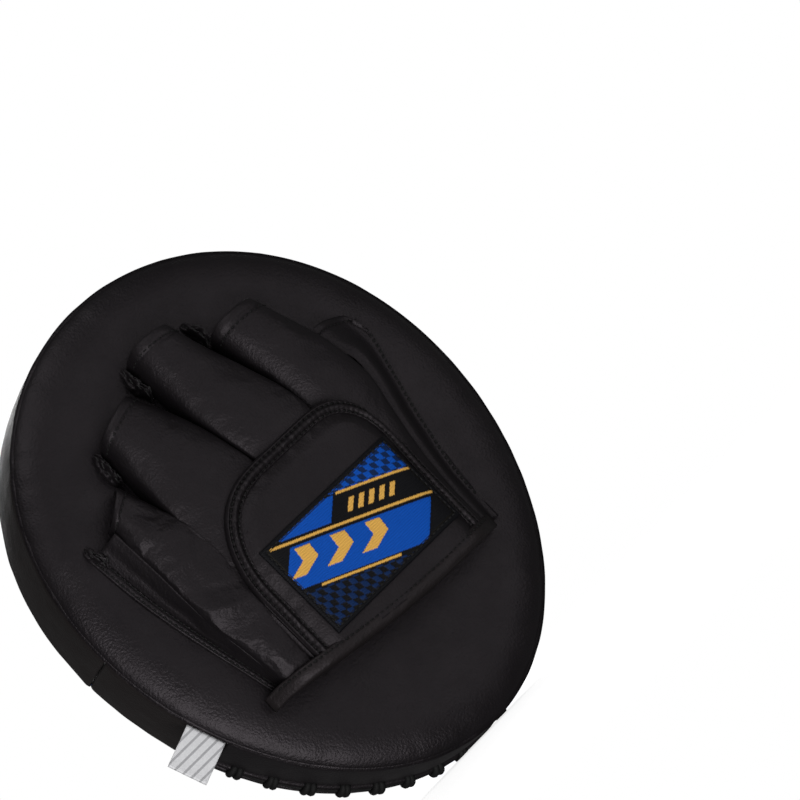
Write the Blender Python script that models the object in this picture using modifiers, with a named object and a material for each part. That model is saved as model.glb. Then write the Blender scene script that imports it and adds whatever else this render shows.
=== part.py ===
"""A junior focus mitt: an egg-shaped foam pad with a hand pocket sewn to its back.

Sizes are named in millimetres and turned into metres when a mesh is made.
The strike face looks along +Y, the fingers point along +Z and the thumb is on the +X side.
Depth is counted from the strike face towards the hand, so a point at depth d has y = -d.
"""

from math import cos, pi, radians, sin, sqrt

import bmesh
import bpy
import numpy as np
from mathutils import Matrix, Vector

MM = 0.001
GAP = 0.3

# The padded body
PAD_WIDTH = 190.0
PAD_LENGTH = 226.4
EGG = 0.072
BAND_HEIGHT = 34.0
CROWN = 7.5
SHOULDER = 17.0
SKIN = 1.8
BAND_SKIN = 1.6
SEAM_RUN = 0.6
PAD_DEPTH = BAND_HEIGHT + 2 * CROWN
FRONT_SEAM = CROWN
BACK_SEAM = CROWN + BAND_HEIGHT
FOAM_SPLITS = (FRONT_SEAM + 9.0, BACK_SEAM - 8.0)
ROUND_STEPS = 72
CROWN_STEPS = 6

# The side band's seams, in degrees round the outline from the thumb side towards the fingers
BUTT_SEAM = 177.0
LACE_FROM = 205.0
LACE_TO = 291.0
LACE_DEPTH = 15.0
LACE_RADIUS = 1.1
LACE_STITCHES = 10
LACE_REACH = 4.2
END_GAP = 0.2

# The care label
LABEL_ANGLE = 200.5
LABEL_WIDTH = 16.0
LABEL_LENGTH = 18.0
LABEL_THICK = 0.8

# The hand pocket
PALM_THICK = 1.0
PALM_DEPTH = PAD_DEPTH + GAP
FOOT_DEPTH = PALM_DEPTH + 0.2
WRIST = -61.0
WRIST_RISE = 9.0
KNUCKLE = 19.7
LITTLE_BASE = 7.0
COVER_LEFT = -60.0
COVER_RIGHT = 48.3
ARCH_LOW = 52.3
ARCH_HIGH = 61.5
ARCH_POWER = 6.0
LINING = (0.0, 0.8)
PADDING = (1.1, 4.1)
LEATHER = (4.4, 5.6)
OVERLAY = (5.9, 7.1)
PATCH = (7.4, 8.2)
OVERLAY_SIDES = (-46.0, 48.0)
OVERLAY_CORNER = 24.0
PATCH_SIDES = (-32.5, 39.0)
PATCH_ENDS = (-49.5, -6.5)
BINDING_WIDTH = 4.8
COVER_STEPS = 24
COVER_ROWS = 7

# Finger stalls: base centre, tip centre, base width and tip width, height at the base and tip
STALL_WALL = 1.2
STALL_FLOOR = PAD_DEPTH + 1.6
STALLS = {
    "index_stall": ((40.5, 20.6), (35.6, 68.0), 27.0, 24.0, 16.5, 14.5),
    "middle_stall": ((11.8, 20.6), (6.2, 84.5), 29.0, 26.0, 17.0, 15.0),
    "ring_stall": ((-20.3, 20.6), (-29.4, 70.0), 28.0, 24.0, 16.5, 14.0),
    "little_stall": ((-51.0, 9.0), (-56.6, 46.0), 17.5, 19.5, 13.0, 11.5),
    "thumb_stall": ((53.1, -48.0), (66.4, 38.0), 7.0, 18.5, 7.0, 9.5),
}
STALL_STATIONS = 7
STALL_STEPS = 24

# Leather tabs that tie the seams between the fingertips down to the pad
ANCHORS = {
    "index_middle_anchor": ((22.0, 78.0), (22.0, 66.5)),
    "middle_ring_anchor": ((-10.4, 80.0), (-10.9, 68.0)),
    "ring_little_anchor": ((-44.1, 63.0), (-43.6, 51.5)),
    "little_side_anchor": ((-72.5, 41.5), (-70.7, 30.0)),
}
ANCHOR_WIDTH = 2.2
ANCHOR_HEIGHT = 7.0

# Joint centres
COVER_HINGE = Vector((0.0, -(ARCH_HIGH + PATCH[1] + 0.5), KNUCKLE + 0.6))


def rim(inset, degrees):
    """Across and along position of the pad's outline, moved inwards by inset."""
    angle = radians(degrees)
    across = (PAD_WIDTH / 2 - inset) * (1 + EGG * sin(angle)) * cos(angle)
    along = (PAD_LENGTH / 2 - inset) * sin(angle)
    return across, along


def rim_frame(degrees):
    """Unit vectors along the outline and out of it, seen in the XZ plane."""
    step = 0.5
    before = rim(0.0, degrees - step)
    after = rim(0.0, degrees + step)
    along = Vector((after[0] - before[0], 0.0, after[1] - before[1])).normalized()
    outward = Vector((along.z, 0.0, -along.x))
    return along, outward


def at(across, depth, along):
    """The point in millimetres at that position across, through and along the pad."""
    return Vector((across, -depth, along))


def between(value, stations):
    """Straight-line interpolation through (position, value) stations."""
    places, values = zip(*stations)
    return float(np.interp(value, places, values))


def material(name, colour, roughness, metallic=0.0, coat=0.0):
    """A Principled material."""
    made = bpy.data.materials.new(name)
    made.use_nodes = True
    shader = made.node_tree.nodes["Principled BSDF"]
    shader.inputs["Base Color"].default_value = (*colour, 1.0)
    shader.inputs["Roughness"].default_value = roughness
    shader.inputs["Metallic"].default_value = metallic
    shader.inputs["Coat Weight"].default_value = coat
    made.diffuse_color = (*colour, 1.0)
    return made


def black_leather(name):
    """Smooth black synthetic leather."""
    return material(name, (0.018, 0.017, 0.018), 0.42)


def blue_leather(name):
    """Metallic blue synthetic leather."""
    return material(name, (0.012, 0.075, 0.48), 0.30, metallic=0.75, coat=0.25)


def foam(name, shade):
    """Closed-cell foam."""
    return material(name, (shade, shade, shade), 0.95)


def lining_cloth(name):
    """Dark woven lining."""
    return material(name, (0.03, 0.03, 0.035), 0.9)


def add_object(name, mesh, surface, origin=(0.0, 0.0, 0.0), sharp=40.0):
    """Links one named part with its origin at the given point in millimetres."""
    centre = Vector(origin) * MM
    mesh.transform(Matrix.Translation(-centre))
    mesh.materials.append(surface)
    for polygon in mesh.polygons:
        polygon.use_smooth = True
    mesh.set_sharp_from_angle(angle=radians(sharp))
    part = bpy.data.objects.new(name, mesh)
    part.location = centre
    PARTS.objects.link(part)
    return part


def mesh_from(name, bm):
    """Turns a bmesh in millimetres into a mesh in metres with its faces pointing out."""
    bmesh.ops.scale(bm, vec=Vector((MM, MM, MM)), verts=bm.verts)
    bmesh.ops.recalc_face_normals(bm, faces=bm.faces)
    mesh = bpy.data.meshes.new(name)
    bm.to_mesh(mesh)
    bm.free()
    return mesh


def skinned(name, rings, caps=(True, True)):
    """Skins closed rings of points from the first to the last. caps fans the ends shut."""
    bm = bmesh.new()
    loops = [[bm.verts.new(p) for p in ring] for ring in rings]
    for near, far in zip(loops, loops[1:]):
        edges = [bm.edges.get(pair) or bm.edges.new(pair) for pair in loop_pairs(near)]
        edges += [bm.edges.new(pair) for pair in loop_pairs(far)]
        bmesh.ops.bridge_loops(bm, edges=edges)
    ends = [bm.faces.new(loop) for wanted, loop in zip(caps, (loops[0], loops[-1])) if wanted]
    bmesh.ops.poke(bm, faces=ends)
    return mesh_from(name, bm)


def loop_pairs(loop):
    """Each vertex of a closed loop with the one after it."""
    return list(zip(loop, loop[1:] + loop[:1]))


def placed_grid(columns, rows, place):
    """A bmesh grid whose vertices go where place(across, along) says, both from 0 to 1."""
    bm = bmesh.new()
    bmesh.ops.create_grid(bm, x_segments=columns, y_segments=rows, size=0.5)
    for vertex in bm.verts:
        vertex.co = place(vertex.co.x + 0.5, vertex.co.y + 0.5)
    return bm


def sheet(name, columns, rows, place, thick):
    """A sheet of leather or cloth, thickened straight away from the pad."""
    bm = placed_grid(columns, rows, place)
    grown = bmesh.ops.extrude_face_region(bm, geom=bm.faces[:])["geom"]
    moved = [item for item in grown if isinstance(item, bmesh.types.BMVert)]
    bmesh.ops.translate(bm, vec=Vector((0.0, -thick, 0.0)), verts=moved)
    return mesh_from(name, bm)


def thicken(part, thick):
    """Gives an open surface its thickness, on its inner side."""
    solidify = part.modifiers.new("thickness", "SOLIDIFY")
    solidify.thickness = thick * MM
    solidify.offset = -1.0
    return part


def crown(skin, seam_gap):
    """(inset, rise) along a crown's quarter round, from the flat to the seam, under that skin."""
    steps = [0.5 * pi * i / CROWN_STEPS for i in range(CROWN_STEPS + 1)]
    reach = SHOULDER - skin
    rise = CROWN - seam_gap - skin
    return [(skin + reach * (1 - sin(t)), skin + rise * (1 - cos(t))) for t in steps]


def pad_rings(profile):
    """One ring of outline points for each (inset, depth) of the profile."""
    turn = 360.0 / ROUND_STEPS
    rings = []
    for inset, depth in profile:
        outline = [rim(inset, turn * i) for i in range(ROUND_STEPS)]
        rings.append([at(x, depth, z) for x, z in outline])
    return rings


def from_back(profile):
    """The same profile measured from the pad's back instead of its strike face."""
    return [(inset, PAD_DEPTH - depth) for inset, depth in profile]


def pad_skin(name, profile, surface):
    """A crowned leather skin, closed over the flat and open at the seam."""
    mesh = skinned(name, pad_rings(profile), caps=(True, False))
    flat_depth = profile[0][1]
    return thicken(add_object(name, mesh, surface, at(0, flat_depth, 0)), SKIN)


def pad_slab(name, profile, surface):
    """A solid layer whose (inset, depth) profile runs from one flat to the other."""
    middle = (profile[0][1] + profile[-1][1]) / 2
    mesh = skinned(name, pad_rings(profile))
    return add_object(name, mesh, surface, at(0, middle, 0))


def build_covers():
    """The blue strike skin and the black skin on the hand side, straight beside the seam."""
    outside = crown(0.0, GAP / 2 + SEAM_RUN) + [(0.0, CROWN - GAP / 2)]
    pad_skin("strike_cover", outside, blue_leather("strike_leather"))
    pad_skin("back_cover", from_back(outside), black_leather("back_leather"))


def build_foams():
    """Three slabs of foam that fill the cover."""
    inside = BAND_SKIN + GAP
    fill = crown(SKIN + 2 * GAP, GAP)
    first, second = FOAM_SPLITS
    front = fill + [(inside + GAP, first), (SHOULDER, first)]
    back = from_back(fill + [(inside + GAP, PAD_DEPTH - second), (SHOULDER, PAD_DEPTH - second)])
    first_low = first + GAP
    second_high = second - GAP
    core = [(SHOULDER, first_low), (inside, first_low), (inside, second_high)]
    core.append((SHOULDER, second_high))
    pad_slab("strike_foam", front, foam("strike_foam", 0.35))
    pad_slab("core_foam", core, foam("core_foam", 0.12))
    pad_slab("back_foam", back, foam("back_foam", 0.55))


def band_piece(name, start, end, depth_from, depth_to):
    """A strip of the side band between two angles and two depths."""
    first = start + END_GAP / 2
    last = end - END_GAP / 2
    count = max(2, round((last - first) * ROUND_STEPS / 360.0))

    def place(across, along):
        x, z = rim(0.0, first + (last - first) * across)
        return at(x, depth_to + (depth_from - depth_to) * along, z)

    mesh = mesh_from(name, placed_grid(count, 1, place))
    middle = rim(0.0, (first + last) / 2)
    face_outwards(mesh, at(0, 0, 0))
    origin = at(middle[0], (depth_from + depth_to) / 2, middle[1])
    return thicken(add_object(name, mesh, black_leather(name + "_leather"), origin), BAND_SKIN)


def face_outwards(mesh, inside):
    """Turns an open surface round if its first face looks towards the inside point."""
    face = mesh.polygons[0]
    away = Vector((face.center.x, 0.0, face.center.z)) - inside
    if face.normal.dot(away) < 0:
        mesh.flip_normals()


def build_band():
    """The side band: a long strip, a short strip and two strips that the lace closes."""
    front = FRONT_SEAM + GAP / 2
    back = BACK_SEAM - GAP / 2
    band_piece("side_band_long", LACE_TO - 360.0, BUTT_SEAM, front, back)
    band_piece("side_band_short", BUTT_SEAM, LACE_FROM, front, back)
    band_piece("closure_strip_front", LACE_FROM, LACE_TO, front, LACE_DEPTH - GAP)
    band_piece("closure_strip_back", LACE_FROM, LACE_TO, LACE_DEPTH + GAP, back)


def build_lace():
    """One round lace that zigzags across the slit between the closure strips."""
    outset = -(LACE_RADIUS + GAP)
    margin = 3.0
    steps = LACE_STITCHES * 10
    curve = bpy.data.curves.new("lace_cord", "CURVE")
    curve.dimensions = "3D"
    curve.bevel_depth = LACE_RADIUS * MM
    curve.bevel_resolution = 2
    curve.use_fill_caps = True
    line = curve.splines.new("POLY")
    line.points.add(steps)
    for i in range(steps + 1):
        share = i / steps
        angle = LACE_FROM + margin + (LACE_TO - LACE_FROM - 2 * margin) * share
        depth = LACE_DEPTH + LACE_REACH * sin(2 * pi * LACE_STITCHES * share)
        x, z = rim(outset, angle)
        line.points[i].co = (*(at(x, depth, z) * MM), 1.0)
    carrier = bpy.data.objects.new("lace_path", curve)
    PARTS.objects.link(carrier)
    bpy.context.view_layer.update()
    graph = bpy.context.evaluated_depsgraph_get()
    mesh = bpy.data.meshes.new_from_object(carrier.evaluated_get(graph))
    bpy.data.objects.remove(carrier)
    bm = bmesh.new()
    bm.from_mesh(mesh)
    bmesh.ops.remove_doubles(bm, verts=bm.verts, dist=0.00001)
    bmesh.ops.recalc_face_normals(bm, faces=bm.faces)
    bm.to_mesh(mesh)
    bm.free()
    mesh.materials.clear()
    x, z = rim(0.0, (LACE_FROM + LACE_TO) / 2)
    surface = material("lace_cotton", (0.015, 0.015, 0.016), 0.8)
    add_object("lace_cord", mesh, surface, at(x, LACE_DEPTH, z))


def build_label():
    """The folded satin care label, hinged on the seam it is sewn into."""
    along, outward = rim_frame(LABEL_ANGLE)
    x, z = rim(0.0, LABEL_ANGLE)
    hinge = at(x, BACK_SEAM, z) + outward * (LABEL_THICK / 2 + GAP)

    def place(across, reach):
        return Vector(((across - 0.5) * LABEL_WIDTH, LABEL_THICK / 2, reach * LABEL_LENGTH))

    mesh = sheet("care_label", 2, 5, place, LABEL_THICK)
    label = add_object("care_label", mesh, material("label_satin", (0.86, 0.86, 0.84), 0.45))
    turn = Matrix((along, Vector((0, 1, 0)), outward)).transposed()
    label.rotation_euler = turn.to_euler()
    label.location = hinge * MM


def arch(across):
    """Depth of the inside of the hand cover at that place across the hand."""
    middle = (COVER_LEFT + COVER_RIGHT) / 2
    share = abs(across - middle) / ((COVER_RIGHT - COVER_LEFT) / 2)
    return ARCH_LOW + (ARCH_HIGH - ARCH_LOW) * (1 - share**ARCH_POWER)


def wrist_edge(across):
    """The wrist edge of the hand cover, which rises towards the little finger's side."""
    share = (across - COVER_LEFT) / (0.8 * (COVER_RIGHT - COVER_LEFT))
    return WRIST + WRIST_RISE * (1 - sin(min(1.0, share) * pi / 2))


def cover_columns(sides):
    """Places across the hand that every layer shares, so that the layers stay parallel."""
    every = (COVER_RIGHT - COVER_LEFT) / COVER_STEPS
    shared = [COVER_LEFT + every * j for j in range(COVER_STEPS + 1)]
    margin = 0.5
    return [sides[0], *[x for x in shared if sides[0] + margin < x < sides[1] - margin], sides[1]]


def cover_layer(name, sides, low_edge, high_edge, layer, surface):
    """A sheet of the hand cover. The edges give where it starts and ends along the hand."""
    columns = cover_columns(sides)

    def place(across, along):
        x = columns[round(across * (len(columns) - 1))]
        return at(x, arch(x) + layer[0], low_edge(x) * (1 - along) + high_edge(x) * along)

    mesh = sheet(name, len(columns) - 1, COVER_ROWS, place, layer[1] - layer[0])
    return add_object(name, mesh, surface, COVER_HINGE)


def overlay_top(across):
    """The knuckle edge of the overlay, with rounded corners."""
    left, right = OVERLAY_SIDES
    reach = min(across - left, right - across)
    if reach >= OVERLAY_CORNER:
        return KNUCKLE
    share = 1 - reach / OVERLAY_CORNER
    return KNUCKLE - OVERLAY_CORNER * (1 - sqrt(max(0.0, 1 - share**2)))


def build_hand_cover():
    """The layers that lie over the back of the hand."""
    edge = GAP * 2

    def hem(x):
        return wrist_edge(x) + BINDING_WIDTH + GAP

    def level(height):
        return lambda x: height

    def under_overlay(drop):
        return lambda x: between(x, ((-43.0, LITTLE_BASE), (-31.0, KNUCKLE - 5.0))) - drop

    inside = (COVER_LEFT + 3.0, COVER_RIGHT - 3.0)
    padded = (COVER_LEFT + 12.0, COVER_RIGHT - 6.0)
    cover_layer(
        "hand_cover_lining", inside, hem, under_overlay(1.0), LINING, lining_cloth("lining")
    )
    cover_layer(
        "dorsal_padding", padded, hem, under_overlay(3.0), PADDING, foam("padding", 0.7)
    )
    cover_layer(
        "hand_cover",
        (COVER_LEFT, COVER_RIGHT),
        hem,
        under_overlay(0.0),
        LEATHER,
        black_leather("cover_leather"),
    )
    cover_layer(
        "knuckle_overlay", OVERLAY_SIDES, hem, overlay_top, OVERLAY, black_leather("overlay_leather")
    )
    cover_layer(
        "woven_patch",
        PATCH_SIDES,
        level(PATCH_ENDS[0] + edge),
        level(PATCH_ENDS[1]),
        PATCH,
        material("patch_weave", (0.02, 0.12, 0.45), 0.7),
    )


def build_binding():
    """The rolled strip that wraps the wrist edge through all the layers."""
    middle_offset = (LINING[0] + OVERLAY[1]) / 2
    half_depth = (OVERLAY[1] - LINING[0]) / 2
    stations = 20
    steps = 12
    rings = []
    for i in range(stations + 1):
        x = COVER_LEFT + (COVER_RIGHT - COVER_LEFT) * i / stations
        centre_z = wrist_edge(x) + BINDING_WIDTH / 2
        ring = []
        for k in range(steps):
            angle = 2 * pi * k / steps
            depth = arch(x) + middle_offset + half_depth * sin(angle)
            ring.append(at(x, depth, centre_z + BINDING_WIDTH / 2 * cos(angle)))
        rings.append(ring)
    mesh = skinned("wrist_binding", rings)
    add_object("wrist_binding", mesh, black_leather("binding_leather"), COVER_HINGE, sharp=60.0)


def build_palm_panel():
    """The smooth sheet the palm rests on, sewn to the pad's back."""
    low_end = -52.0
    high_end = 17.0
    left = ((low_end, -57.5), (high_end, -61.5))
    right = ((low_end, 47.5), (high_end, 52.0))

    def place(across, along):
        z = low_end + (high_end - low_end) * along
        x = between(z, left) * (1 - across) + between(z, right) * across
        return at(x, PALM_DEPTH, z)

    mesh = sheet("palm_panel", 6, 4, place, PALM_THICK)
    add_object("palm_panel", mesh, lining_cloth("palm_cloth"), at(0, PALM_DEPTH, 0))


def build_stall(name, base, tip, widths, heights):
    """A finger stall: a flattened leather tube that is open at both ends."""
    start = Vector((base[0], 0.0, base[1]))
    run = Vector((tip[0], 0.0, tip[1])) - start
    side = Vector((run.z, 0.0, -run.x)).normalized()

    def ring(share):
        centre = start + run * share
        half_width = (widths[0] * (1 - share) + widths[1] * share) / 2
        half_height = (heights[0] * (1 - share) + heights[1] * share) / 2
        points = []
        for k in range(STALL_STEPS):
            angle = 2 * pi * k / STALL_STEPS
            depth = STALL_FLOOR + half_height * (1 + sin(angle))
            point = centre + side * (half_width * cos(angle))
            points.append(at(point.x, depth, point.z))
        return points

    rings = [ring(i / (STALL_STATIONS - 1)) for i in range(STALL_STATIONS)]
    mesh = skinned(name, rings, caps=(False, False))
    surface = black_leather(name + "_leather")
    stall = add_object(name, mesh, surface, at(base[0], STALL_FLOOR, base[1]))
    return thicken(stall, STALL_WALL)


def build_stalls():
    """Four finger stalls and the thumb stall."""
    for name, (base, tip, base_width, tip_width, base_height, tip_height) in STALLS.items():
        build_stall(name, base, tip, (base_width, tip_width), (base_height, tip_height))


def build_anchor(name, start, end):
    """A small folded leather tab, thickest in its middle."""
    first = Vector((start[0], 0.0, start[1]))
    run = Vector((end[0], 0.0, end[1])) - first
    side = Vector((run.z, 0.0, -run.x)).normalized()
    steps = 10
    rings = []
    for i in range(5):
        share = 0.06 + 0.88 * i / 4
        swell = sqrt(1 - (2 * share - 1) ** 2)
        centre = first + run * share
        half_width = ANCHOR_WIDTH / 2 * swell
        half_height = ANCHOR_HEIGHT / 2 * (0.55 + 0.45 * swell)
        middle = FOOT_DEPTH + half_height
        ring = []
        for k in range(steps):
            angle = 2 * pi * k / steps
            point = centre + side * (half_width * cos(angle))
            ring.append(at(point.x, middle + half_height * sin(angle), point.z))
        rings.append(ring)
    mesh = skinned(name, rings)
    origin = at(start[0], PALM_DEPTH, start[1])
    add_object(name, mesh, black_leather(name + "_leather"), origin, sharp=60.0)


def build_anchors():
    """The tabs between the fingertips."""
    for name, (start, end) in ANCHORS.items():
        build_anchor(name, start, end)


def side_panel(name, heights, top_line, foot_line, top_depth, thick):
    """A slanting leather wall from a line on the pad up to the hand cover's edge."""
    def place(across, along):
        z = heights[0] + (heights[1] - heights[0]) * along
        top = at(between(z, top_line), between(z, top_depth), z)
        foot = at(between(z, foot_line), FOOT_DEPTH, z)
        return foot + (top - foot) * across

    mesh = sheet(name, 3, 8, place, thick)
    add_object(name, mesh, black_leather(name + "_leather"), place(0.0, 0.5))


def build_side_panels():
    """The pleated gusset on the little finger's side and the web beside the thumb."""
    side_panel(
        "little_side_gusset",
        (-47.0, 28.0),
        top_line=((-47.0, -60.4), (0.0, -61.0), (28.0, -65.2)),
        foot_line=((-47.0, -63.0), (-13.0, -66.5), (11.0, -69.5), (28.0, -72.0)),
        top_depth=((-47.0, 53.0), (0.0, 56.5), (28.0, 56.0)),
        thick=1.2,
    )
    side_panel(
        "thumb_web",
        (-28.0, 18.0),
        top_line=((-28.0, 48.8), (18.0, 49.2)),
        foot_line=((-28.0, 51.0), (0.0, 54.2), (18.0, 57.0)),
        top_depth=((-28.0, 53.0), (0.0, 55.0), (18.0, 56.0)),
        thick=1.2,
    )


def clear_scene():
    """Removes everything a new file starts with."""
    for old in list(bpy.data.objects):
        bpy.data.objects.remove(old)


def main():
    build_covers()
    build_foams()
    build_band()
    build_lace()
    build_label()
    build_palm_panel()
    build_stalls()
    build_anchors()
    build_side_panels()
    build_hand_cover()
    build_binding()


clear_scene()
PARTS = bpy.data.collections.new("focus_mitt")
bpy.context.scene.collection.children.link(PARTS)
main()
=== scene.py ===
"""The looks of the focus mitt: leather skins, finger stalls, seams, lace, patch and label.

Everything is worked out in millimetres in the part's own frame and turned into metres when a
mesh is made. A place is (across, depth, along): across is +X, along is +Z towards the
fingertips, and depth is counted from the strike face towards the hand, so y = -depth.
"""

import math

import bmesh
import bpy
import numpy as np
from mathutils import Matrix, Vector


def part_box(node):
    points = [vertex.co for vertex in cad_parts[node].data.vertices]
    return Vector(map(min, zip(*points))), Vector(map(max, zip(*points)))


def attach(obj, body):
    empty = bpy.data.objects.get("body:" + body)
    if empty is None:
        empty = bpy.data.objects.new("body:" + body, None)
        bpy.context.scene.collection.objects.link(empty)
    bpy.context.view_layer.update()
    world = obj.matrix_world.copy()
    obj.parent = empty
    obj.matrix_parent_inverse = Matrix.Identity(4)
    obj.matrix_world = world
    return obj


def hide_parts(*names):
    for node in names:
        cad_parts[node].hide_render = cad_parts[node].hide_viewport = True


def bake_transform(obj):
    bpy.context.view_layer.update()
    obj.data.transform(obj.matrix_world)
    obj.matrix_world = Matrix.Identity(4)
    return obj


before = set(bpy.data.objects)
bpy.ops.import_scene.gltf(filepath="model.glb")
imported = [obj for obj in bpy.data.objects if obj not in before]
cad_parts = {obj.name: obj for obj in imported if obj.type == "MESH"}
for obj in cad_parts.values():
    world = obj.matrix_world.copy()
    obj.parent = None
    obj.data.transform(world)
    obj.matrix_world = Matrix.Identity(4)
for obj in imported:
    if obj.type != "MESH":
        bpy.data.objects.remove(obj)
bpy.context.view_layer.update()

MM = 0.001
PAD = "pad"
FLAP = "hand_cover_flap"


def node_box(name):
    """Lowest and highest (across, depth, along) of a CAD node, in millimetres."""
    low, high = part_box(name)
    return np.array((low.x, -high.y, low.z)) / MM, np.array((high.x, -low.y, high.z)) / MM


# The padded body, from the frame
EGG = 0.072
PAD_LOW, PAD_HIGH = node_box("back_cover")
HALF_LENGTH = (PAD_HIGH[2] - PAD_LOW[2]) / 2
HALF_WIDTH = (PAD_HIGH[0] - PAD_LOW[0]) / 2 / (1 + EGG**2 / 2)
PAD_BACK = PAD_HIGH[1]
BAND_LOW, BAND_HIGH = node_box("side_band_long")
BACK_SEAM = BAND_HIGH[1]
SHOULDER = 17.0
SKIN = 1.6
BAND_LEATHER = 1.4
STRIKE_SEAM = BAND_LOW[1] - 4.2
STRIKE_INSET = 3.2

# The side band, in degrees round the outline
BUTT_SEAM = 177.0
SLIT_FROM = 205.0
SLIT_TO = 291.0
LACE_LOW, LACE_HIGH = node_box("lace_cord")
SLIT_DEPTH = (LACE_LOW[1] + LACE_HIGH[1]) / 2
LABEL_ANGLE = 200.5

# The hand pocket, from the frame
COVER_LOW, COVER_HIGH = node_box("hand_cover")
COVER_LEFT, COVER_RIGHT = COVER_LOW[0], COVER_HIGH[0]
OVERLAY_LOW, OVERLAY_HIGH = node_box("knuckle_overlay")
PATCH_LOW, PATCH_HIGH = node_box("woven_patch")
LEATHER = 1.2
ARCH_HIGH = COVER_HIGH[1]
ARCH_LOW = ARCH_HIGH - 9.2
ARCH_POWER = 6.0
KNUCKLE = OVERLAY_HIGH[2]
WRIST = node_box("wrist_binding")[0][2]
FLOOR = PAD_BACK + 0.6
UNDER_HAND = (0.0, -40.0, -20.0)
OUT_OF_PAD = (0.0, -1.0, 0.0)

# Sewing: a stitch, the gap after it, the thread's radius and the usual shade of the thread
STITCH = 1.5
STITCH_PITCH = STITCH + 1.0
THREAD = 0.36
DARK_THREAD = 0.0022

# The overlay's edging: its width, and its two rows of stitches counted from the edge
EDGING = 6.4
ROW_OUTER = 1.6
ROW_INNER = 4.9


# ------------ small maths

def smooth(t):
    """0 to 1 with soft ends."""
    t = np.clip(t, 0.0, 1.0)
    return t * t * (3 - 2 * t)


def bump(t, width):
    """A rounded ridge of height 1 round t = 0."""
    return np.exp(-((np.asarray(t, float) / width) ** 2))


def shares(count):
    """Evenly spread shares from 0 to 1, down the rows of a grid."""
    return np.linspace(0.0, 1.0, count)[:, None]


def between(first, second, share):
    """Part of the way from one value to another."""
    return first + (second - first) * share


def squarish(angle, power):
    """A cosine and sine pulled out towards a square."""
    waves = (np.cos(angle), np.sin(angle))
    return [np.sign(wave) * np.abs(wave) ** p for wave, p in zip(waves, power)]


def noise(u, v, cell, seed):
    """Smooth random heights from -1 to 1 that change over about one cell."""
    size = 64
    lattice = np.random.default_rng(seed).uniform(-1.0, 1.0, (size, size))
    x = np.asarray(u, float) / cell + 0.37
    y = np.asarray(v, float) / cell + 0.61
    i = np.floor(x).astype(int)
    j = np.floor(y).astype(int)

    def row(step):
        first = lattice[i % size, (j + step) % size]
        return between(first, lattice[(i + 1) % size, (j + step) % size], smooth(x - i))

    return between(row(0), row(1), smooth(y - j))


def along_line(stations, count):
    """Points of a smooth curve through a few stations, evenly spread by station."""
    stations = np.asarray(stations, float)
    t = np.linspace(0, len(stations) - 1, count)
    i = np.clip(t.astype(int), 0, len(stations) - 2)
    f = (t - i)[:, None]
    padded = np.vstack([2 * stations[0] - stations[1], stations, 2 * stations[-1] - stations[-2]])
    a, b, c, d = padded[i], padded[i + 1], padded[i + 2], padded[i + 3]
    pull = f * (2 * a - 5 * b + 4 * c - d + f * (3 * b - 3 * c + d - a))
    return b + 0.5 * f * (c - a + pull)


def walked(points):
    """Distance walked along a line at each of its points."""
    steps = np.linalg.norm(np.diff(points, axis=0), axis=1)
    return np.concatenate([[0.0], np.cumsum(steps)])


def read_along(points, run, spots):
    """The places on a line at given distances along it."""
    return np.stack([np.interp(spots, run, axis) for axis in np.transpose(points)], axis=1)


def rim(inset, degrees):
    """Across and along place of the pad's outline, moved inwards."""
    angle = np.radians(degrees)
    across = (HALF_WIDTH - inset) * (1 + EGG * np.sin(angle)) * np.cos(angle)
    return across, (HALF_LENGTH - inset) * np.sin(angle)


def at(across, depth, along):
    """World points in millimetres from arrays of places."""
    across, depth, along = np.broadcast_arrays(across, depth, along)
    return np.stack([across, -depth, along], axis=-1).astype(float)


def arch(across):
    """Depth of the hand cover's leather across the hand."""
    middle = (COVER_LEFT + COVER_RIGHT) / 2
    share = np.abs(across - middle) / ((COVER_RIGHT - COVER_LEFT) / 2)
    return ARCH_LOW + (ARCH_HIGH - ARCH_LOW) * (1 - np.minimum(share, 1.05) ** ARCH_POWER)


def wrist_edge(across):
    """The wrist edge of the hand cover, which drops towards the thumb."""
    share = (across - COVER_LEFT) / (0.8 * (COVER_RIGHT - COVER_LEFT))
    return WRIST + 9.0 * (1 - np.sin(np.clip(share, 0.0, 1.0) * math.pi / 2))


# ------------ meshes

def mesh_object(name, points, faces, surface):
    """A smooth-shaded object from points in millimetres."""
    mesh = bpy.data.meshes.new(name)
    mesh.from_pydata((np.asarray(points) * MM).tolist(), [], faces)
    mesh.materials.append(surface)
    mesh.polygons.foreach_set("use_smooth", [True] * len(mesh.polygons))
    mesh.update()
    made = bpy.data.objects.new(name, mesh)
    bpy.context.scene.collection.objects.link(made)
    return made


def face_out(made, inside=None):
    """Turns the faces outwards or, on an open shape, mostly away from a point inside."""
    bm = bmesh.new()
    bm.from_mesh(made.data)
    bmesh.ops.recalc_face_normals(bm, faces=bm.faces)
    if inside is not None:
        centre = Vector(inside) * MM
        lean = sum((f.calc_center_median() - centre).normalized().dot(f.normal) for f in bm.faces)
        if lean < 0:
            bmesh.ops.reverse_faces(bm, faces=bm.faces)
    bm.to_mesh(made.data)
    bm.free()


def dress(made, body=None, node=None):
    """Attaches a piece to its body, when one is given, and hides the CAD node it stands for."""
    if body:
        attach(made, body)
    if node:
        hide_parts(node)


def grid_faces(rows, columns, wrap=False, start=0):
    """Quads of a grid of points, closed round when wrap is set."""
    index = np.arange(rows * columns).reshape(rows, columns) + start
    if wrap:
        index = np.hstack([index, index[:, :1]])
    corners = (index[:-1, :-1], index[:-1, 1:], index[1:, 1:], index[1:, :-1])
    return np.stack(corners, axis=-1).reshape(-1, 4).tolist()


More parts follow.
